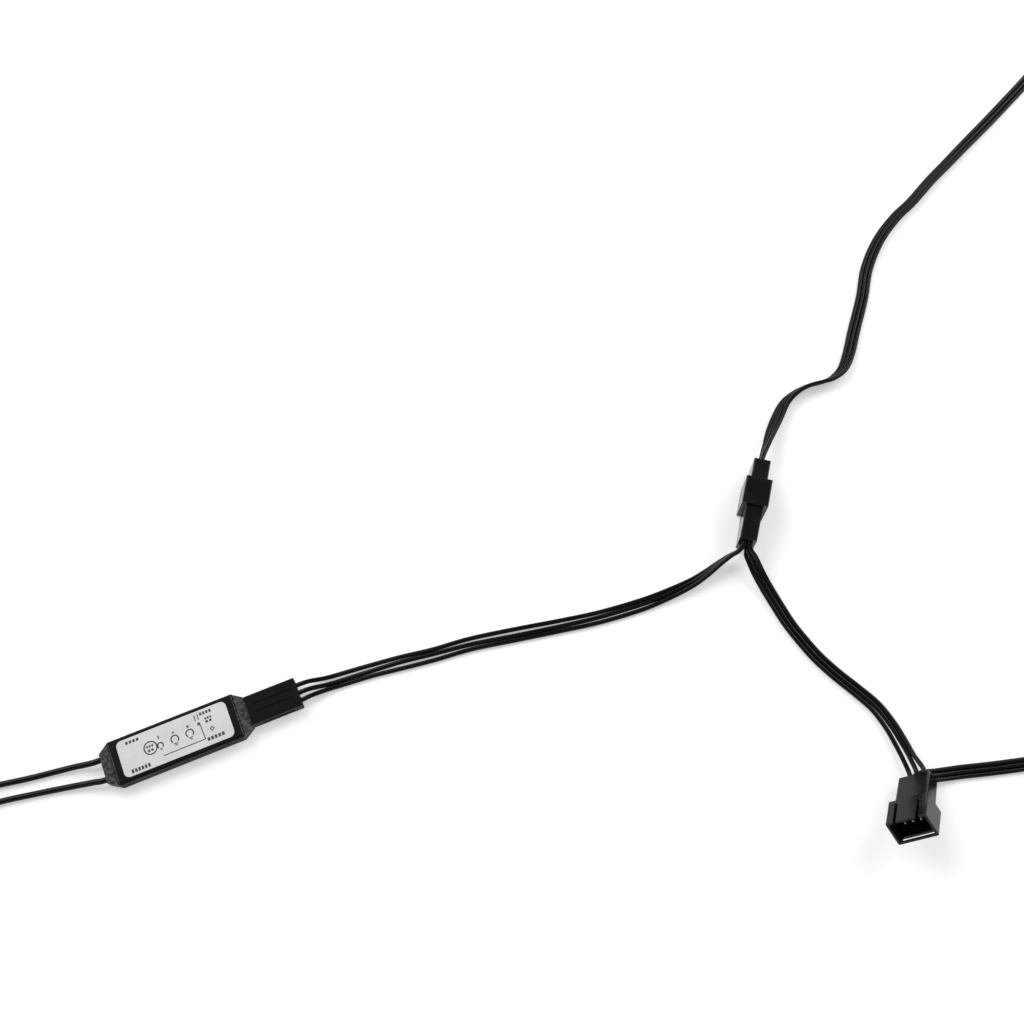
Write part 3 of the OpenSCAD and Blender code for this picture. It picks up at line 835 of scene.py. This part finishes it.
@dataclass
class Leads:
    """Every free wire of the harness, along the routes that the CAD model has."""

    trunk: FlatLead = field(
        default_factory=lambda: FlatLead(
            "trunk",
            [
                (0.03685, 0.0, 0.0024, 0, 0.0025, 0.0025),
                (0.039, 0.0, 0.0024, 0, 0.0025, 0.0025),
                (0.0425, 0.0, 0.0022, 0, 0.0024, 0.0022),
                (0.048, -0.0006, 0.0012, 0, 0.0022, 0.0015),
                (0.054, -0.001, 0.0007, 0, 0.0021, 0.0015),
                (0.062, -0.0016, 0.0007, 0, 0.0019, 0.0016),
                (0.0715, -0.0024, 0.0007, 0, 0.0016, 0.0021),
                (0.082, -0.0039, 0.0007, 0, 0.0015, 0.002),
                (0.094, -0.0055, 0.0007, 0, 0.0019, 0.0016),
                (0.108, -0.0082, 0.0007, 0, 0.0021, 0.0015),
                (0.122, -0.0108, 0.0007, 0, 0.0019, 0.0015),
                (0.135, -0.0128, 0.0007, 0, 0.0016, 0.0017),
                (0.148, -0.014, 0.0007, 0, 0.00145, 0.0017),
                (0.157, -0.0143, 0.001, -10, 0.00145, 0.00145),
                (0.166, -0.0139, 0.0016, -32, 0.00145, 0.00145),
                (0.172, -0.0129, 0.0023, -48, 0.00145, 0.00145),
                (0.177, -0.0117, 0.0032, -62, 0.00145, 0.00145),
                (0.181, -0.011, 0.0043, -70, 0.00145, 0.00145),
                (0.184, -0.0108, 0.0054, -78, 0.0017, 0.0017),
                SPLIT_PLUG_PLACE.way_in(0.0, SHARED_OFFSET, -90),
                SPLIT_PLUG_PLACE.way_in(CRIMP_DEPTH, SHARED_OFFSET, -90),
            ],
            length=0.154,
            far_end="object",
        )
    )
    branch: FlatLead = field(
        default_factory=lambda: FlatLead(
            "branch",
            [
                SPLIT_PLUG_PLACE.way_in(CRIMP_DEPTH, -SHARED_OFFSET, 90),
                SPLIT_PLUG_PLACE.way_in(0.0, -SHARED_OFFSET, 90),
                (0.1867, -0.0125, 0.006, 78, 0.0021, 0.0021),
                (0.1869, -0.0154, 0.0048, 48, 0.0016, 0.0016),
                (0.1872, -0.0194, 0.0032, 20, 0.00145, 0.00145),
                (0.1877, -0.0242, 0.002, 10, 0.00145, 0.00145),
                (0.1884, -0.03, 0.0012, 8, 0.00145, 0.00145),
                (0.1892, -0.037, 0.0008, 4, 0.00145, 0.00145),
                (0.1904, -0.043, 0.0007, 0, 0.00145, 0.00145),
                (0.1924, -0.0505, 0.0007, 0, 0.00145, 0.00145),
                (0.1954, -0.058, 0.0008, 0, 0.00145, 0.00145),
                (0.1987, -0.0648, 0.0009, 4, 0.00145, 0.00145),
                (0.2016, -0.0716, 0.0012, 10, 0.00145, 0.0015),
                (0.2029, -0.0785, 0.0016, 22, 0.00145, 0.0016),
                (0.2032, -0.0845, 0.0022, 34, 0.00145, 0.0019),
                (0.2031, -0.0896, 0.0029, 42, 0.0015, 0.0022),
                OPEN_PLUG_PLACE.way_in(-0.0026, 0.0014, 50),
                OPEN_PLUG_PLACE.way_in(0.0, SHARED_OFFSET, 50),
                OPEN_PLUG_PLACE.way_in(CRIMP_DEPTH, SHARED_OFFSET, 50),
            ],
            length=0.094,
            far_end="object",
        )
    )
    chain: FlatLead = field(
        default_factory=lambda: FlatLead(
            "chain",
            [
                OPEN_PLUG_PLACE.way_in(CRIMP_DEPTH, -SHARED_OFFSET, -50),
                OPEN_PLUG_PLACE.way_in(0.0, -SHARED_OFFSET, -50),
                OPEN_PLUG_PLACE.way_in(-0.002, -0.0012, -47),
                (0.2049, -0.0966, 0.0023, -36, 0.002, 0.0019),
                (0.208, -0.0974, 0.0015, -18, 0.0016, 0.0015),
                (0.2118, -0.0983, 0.001, -6, 0.00145, 0.00145),
                (0.2165, -0.0995, 0.0007, 0, 0.00145, 0.00145),
                (0.225, -0.102, 0.0007, 0, 0.00145, 0.00145),
                (0.2335, -0.1043, 0.0007, 0, 0.00145, 0.00145),
                (0.244, -0.107, 0.0007, 0, 0.00145, 0.00145),
                (0.256, -0.11, 0.0007, 0, 0.00145, 0.00145),
                (0.266, -0.1124, 0.0008, 0, 0.00145, 0.00145),
                (0.275, -0.1141, 0.0018, 0, 0.0015, 0.0015),
                (0.282, -0.1149, 0.0034, 0, 0.002, 0.002),
                CHAIN_PLUG_PLACE.way_in(0.0, 0.0, 0),
                CHAIN_PLUG_PLACE.way_in(CRIMP_DEPTH, 0.0, 0),
            ],
            length=0.093,
            far_end="plug",
            on_end=["chain_plug_housing", "chain_plug_floor", *pins_of("chain")],
        )
    )
    lamp: FlatLead = field(
        default_factory=lambda: FlatLead(
            "lamp",
            [
                LAMP_SOCKET_PLACE.way_in(CRIMP_DEPTH, 0.0, -90),
                LAMP_SOCKET_PLACE.way_in(0.0, 0.0, -90),
                (0.206, 0.016, 0.006, -84, 0.002, 0.002),
                (0.2094, 0.0195, 0.0051, -66, 0.00145, 0.00145),
                (0.2132, 0.0234, 0.0038, -42, 0.00145, 0.00145),
                (0.2182, 0.028, 0.0025, -25, 0.00145, 0.00145),
                (0.2232, 0.0321, 0.0021, -45, 0.00145, 0.00145),
                (0.2286, 0.0342, 0.0021, -62, 0.00145, 0.00145),
                (0.2336, 0.0347, 0.0021, -68, 0.00145, 0.00145),
                (0.2382, 0.0342, 0.0021, -68, 0.00145, 0.00145),
                (0.2424, 0.0342, 0.002, -60, 0.00145, 0.00145),
                (0.2472, 0.036, 0.0018, -42, 0.00145, 0.00145),
                (0.252, 0.0405, 0.0014, -20, 0.00145, 0.00145),
                (0.2584, 0.0483, 0.0009, -4, 0.00145, 0.00145),
                (0.2672, 0.0588, 0.0007, 0, 0.00145, 0.00145),
                (0.2745, 0.0688, 0.0009, -5, 0.00145, 0.00145),
                (0.2838, 0.0774, 0.0012, -16, 0.00145, 0.00145),
                (0.2938, 0.0835, 0.0013, -22, 0.00145, 0.00145),
                (0.3025, 0.0872, 0.0014, -25, 0.00145, 0.00145),
                (0.313, 0.0926, 0.0014, -25, 0.00145, 0.00145),
                (0.3222, 0.0968, 0.0013, -20, 0.00145, 0.00145),
                (0.334, 0.1023, 0.0011, -12, 0.00145, 0.00145),
                (0.345, 0.1073, 0.0009, -5, 0.00145, 0.00145),
                (0.356, 0.1125, 0.0007, 0, 0.00145, 0.00145),
                (0.3677, 0.1181, 0.0007, 0, 0.00145, 0.00145),
                (0.378, 0.1233, 0.0008, 0, 0.00145, 0.00145),
                (0.387, 0.128, 0.002, 0, 0.0016, 0.0016),
                (0.3925, 0.1309, 0.0035, 0, 0.0021, 0.0021),
                LAMP_PLUG_PLACE.way_in(0.0, 0.0, 0),
                LAMP_PLUG_PLACE.way_in(CRIMP_DEPTH, 0.0, 0),
            ],
            length=0.237,
            far_end="plug",
            on_end=["lamp_plug_housing", "lamp_plug_floor", *pins_of("lamp")],
        )
    )
    plus: PowerLead = field(
        default_factory=lambda: PowerLead(
            "plus",
            [
                (-0.012, 0.0032, 0.0024),
                (-0.023, 0.0032, 0.0024),
                (-0.027, 0.0036, 0.0021),
                (-0.0315, 0.0046, 0.0014),
                (-0.0365, 0.0054, 0.00095),
                (-0.045, 0.0066, 0.00095),
                (-0.054, 0.0082, 0.00095),
                (-0.066, 0.0104, 0.00095),
                (-0.08, 0.0118, 0.00095),
                (-0.095, 0.0114, 0.00095),
                (-0.108, 0.009, 0.00095),
                (-0.118, 0.0055, 0.00095),
            ],
            length=0.108,
        )
    )
    minus: PowerLead = field(
        default_factory=lambda: PowerLead(
            "minus",
            [
                (-0.012, -0.0032, 0.0024),
                (-0.023, -0.0032, 0.0024),
                (-0.027, -0.0024, 0.0021),
                (-0.032, -0.0012, 0.0014),
                (-0.038, 0.0001, 0.00095),
                (-0.046, 0.0016, 0.00095),
                (-0.054, 0.003, 0.00095),
                (-0.066, 0.0044, 0.00095),
                (-0.08, 0.0047, 0.00095),
                (-0.094, 0.0034, 0.00095),
                (-0.107, 0.0004, 0.00095),
                (-0.117, -0.0035, 0.00095),
            ],
            length=0.107,
        )
    )

    def build(self) -> None:
        """Make every lead."""
        for lead in (self.trunk, self.branch, self.chain, self.lamp, self.plus, self.minus):
            lead.build()


def facing(place: tuple, target: tuple, level: tuple | np.ndarray) -> Matrix:
    """Return the place and turn of a camera or lamp that looks at a target.

    Args:
        place: where it is.
        target: the point it looks at.
        level: the direction that is made level in it and points to its right.

    Returns:
        The object's world matrix.
    """
    back = np.array(place) - np.array(target)
    back /= np.linalg.norm(back)
    right = np.array(level)
    right -= back * (right @ back)
    right /= np.linalg.norm(right)
    axes = np.stack([right, np.cross(back, right), back], axis=1)
    return Matrix.Translation(place) @ Matrix(axes.tolist()).to_4x4()


@dataclass
class Studio:
    """The photograph's view, a pale floor and plain soft light.

    Fields: the first seven set the camera; the floor is a square of floor_half to each side at
    floor_z, lifted by floor_lift up to near_edge from the harness and by far_lift from far_edge
    on; world_horizon and world_zenith are the surround's strengths there.
    """

    camera_at: tuple[float, float, float] = (0.0620, -0.1161, 0.3950)
    looks_at: tuple[float, float, float] = (0.1231, 0.0313, 0.0)
    level_right: tuple[float, float, float] = (0.9239, -0.3827, 0.0)
    focal_px: float = 1300.0
    frame_px: float = 1024.0
    sensor_mm: float = 36.0
    clip: tuple[float, float] = (0.01, 50.0)
    floor_half: float = 4.0
    floor_z: float = -0.00005
    floor_colour: str = "f2f2f2"
    floor_lift: float = 0.38
    far_lift: float = 0.72
    near_edge: float = 0.45
    far_edge: float = 1.3
    world_colour: str = "ffffff"
    world_horizon: float = 0.9
    world_zenith: float = 0.1

    def build(self) -> None:
        """Make the camera, the floor, the world and the lamps."""
        self._camera()
        self._floor()
        self._world()
        self._lamp("window_light", place=(-0.25, 0.85, 0.95), size=0.9, power=9.0)
        self._lamp("side_fill", place=(1.1, 0.3, 0.8), size=0.8, power=6.0)

    def _camera(self) -> None:
        """Place the camera so that a pixel of its frame is one of the photograph's."""
        data = bpy.data.cameras.new("photo_view")
        data.sensor_width = self.sensor_mm
        data.lens = self.focal_px / self.frame_px * self.sensor_mm
        data.clip_start, data.clip_end = self.clip
        camera = bpy.data.objects.new("photo_view", data)
        bpy.context.scene.collection.objects.link(camera)
        camera.matrix_world = facing(self.camera_at, self.looks_at, self.level_right)
        bpy.context.scene.camera = camera

    def _floor(self) -> None:
        """Lay a large pale sheet just under the harness, lifted to white where it is looked at.

        The lift grows away from the harness, where the lamps fade.
        """
        size = self.floor_half
        corners = np.array([[-size, -size], [size, -size], [size, size], [-size, size]])
        mesh = bpy.data.meshes.new("floor")
        mesh.from_pydata([(x, y, self.floor_z) for x, y in corners.tolist()], [], [(0, 1, 2, 3)])
        floor = bpy.data.objects.new("floor", mesh)
        bpy.context.scene.collection.objects.link(floor)
        material, tree = new_material("pale_seamless_paper")
        seen = add_node(tree, "ShaderNodeLightPath").outputs
        lifted = seen["Is Camera Ray"]
        for ray in ("Is Glossy Ray", "Is Transmission Ray"):
            either = {0: lifted, 1: seen[ray]}
            lifted = add_node(tree, "ShaderNodeMath", either, operation="MAXIMUM").outputs[0]
        place = add_node(tree, "ShaderNodeTexCoord").outputs["Object"]
        away = add_node(
            tree, "ShaderNodeVectorMath", {0: place, 1: self.looks_at}, operation="DISTANCE"
        ).outputs["Value"]
        lift = add_node(
            tree,
            "ShaderNodeMapRange",
            {
                "Value": away,
                "From Min": self.near_edge,
                "From Max": self.far_edge,
                "To Min": self.floor_lift,
                "To Max": self.far_lift,
            },
        ).outputs["Result"]
        both_on = {0: lifted, 1: lift}
        strength = add_node(tree, "ShaderNodeMath", both_on, operation="MULTIPLY").outputs[0]
        paper = add_node(tree, "ShaderNodeBsdfDiffuse", {"Color": srgb(self.floor_colour)})
        glow = add_node(tree, "ShaderNodeEmission", {"Color": (1, 1, 1, 1), "Strength": strength})
        both = add_node(
            tree, "ShaderNodeAddShader", {0: paper.outputs["BSDF"], 1: glow.outputs["Emission"]}
        )
        add_node(tree, "ShaderNodeOutputMaterial", {"Surface": both.outputs["Shader"]})
        mesh.materials.append(material)

    def _world(self) -> None:
        """Surround the scene with white light, bright at the horizon and dim overhead.

        The camera sees it as plain white.
        """
        world = bpy.data.worlds.new("white_surround")
        bpy.context.scene.world = world
        world.use_nodes = True
        tree = world.node_tree
        tree.nodes.clear()
        direction = add_node(tree, "ShaderNodeTexCoord").outputs["Generated"]
        height = add_node(tree, "ShaderNodeSeparateXYZ", {"Vector": direction}).outputs["Z"]
        glow = add_node(
            tree,
            "ShaderNodeMapRange",
            {"Value": height, "To Min": self.world_horizon, "To Max": self.world_zenith},
        ).outputs["Result"]
        seen = add_node(tree, "ShaderNodeLightPath").outputs["Is Camera Ray"]
        strength = add_node(
            tree, "ShaderNodeMapRange", {"Value": seen, "To Min": glow, "To Max": 1.0}
        ).outputs["Result"]
        colour = srgb(self.world_colour)
        sky = add_node(tree, "ShaderNodeBackground", {"Color": colour, "Strength": strength})
        add_node(tree, "ShaderNodeOutputWorld", {"Surface": sky.outputs["Background"]})

    def _lamp(self, name: str, place: tuple, size: float, power: float) -> None:
        """Hang a square soft lamp that faces the middle of the harness.

        Args:
            name: the lamp's name.
            place: where it hangs.
            size: its side, in metres.
            power: its power, in watts.
        """
        data = bpy.data.lights.new(name, "AREA")
        data.size = size
        data.energy = power
        lamp = bpy.data.objects.new(name, data)
        bpy.context.scene.collection.objects.link(lamp)
        level = np.cross([0.0, 1.0, 0.0], np.array(place) - np.array(self.looks_at))
        lamp.matrix_world = facing(place, self.looks_at, level)


def main() -> None:
    """Load the frame, build the studio and each part of the harness, and log each piece's face
    count.
    """
    logging.basicConfig(level=logging.INFO, format="%(message)s")
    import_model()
    bpy.context.scene.view_settings.view_transform = "Standard"
    Studio().build()
    Connectors().build()
    Leads().build()
    Controller().build()


if __name__ == "__main__":
    main()
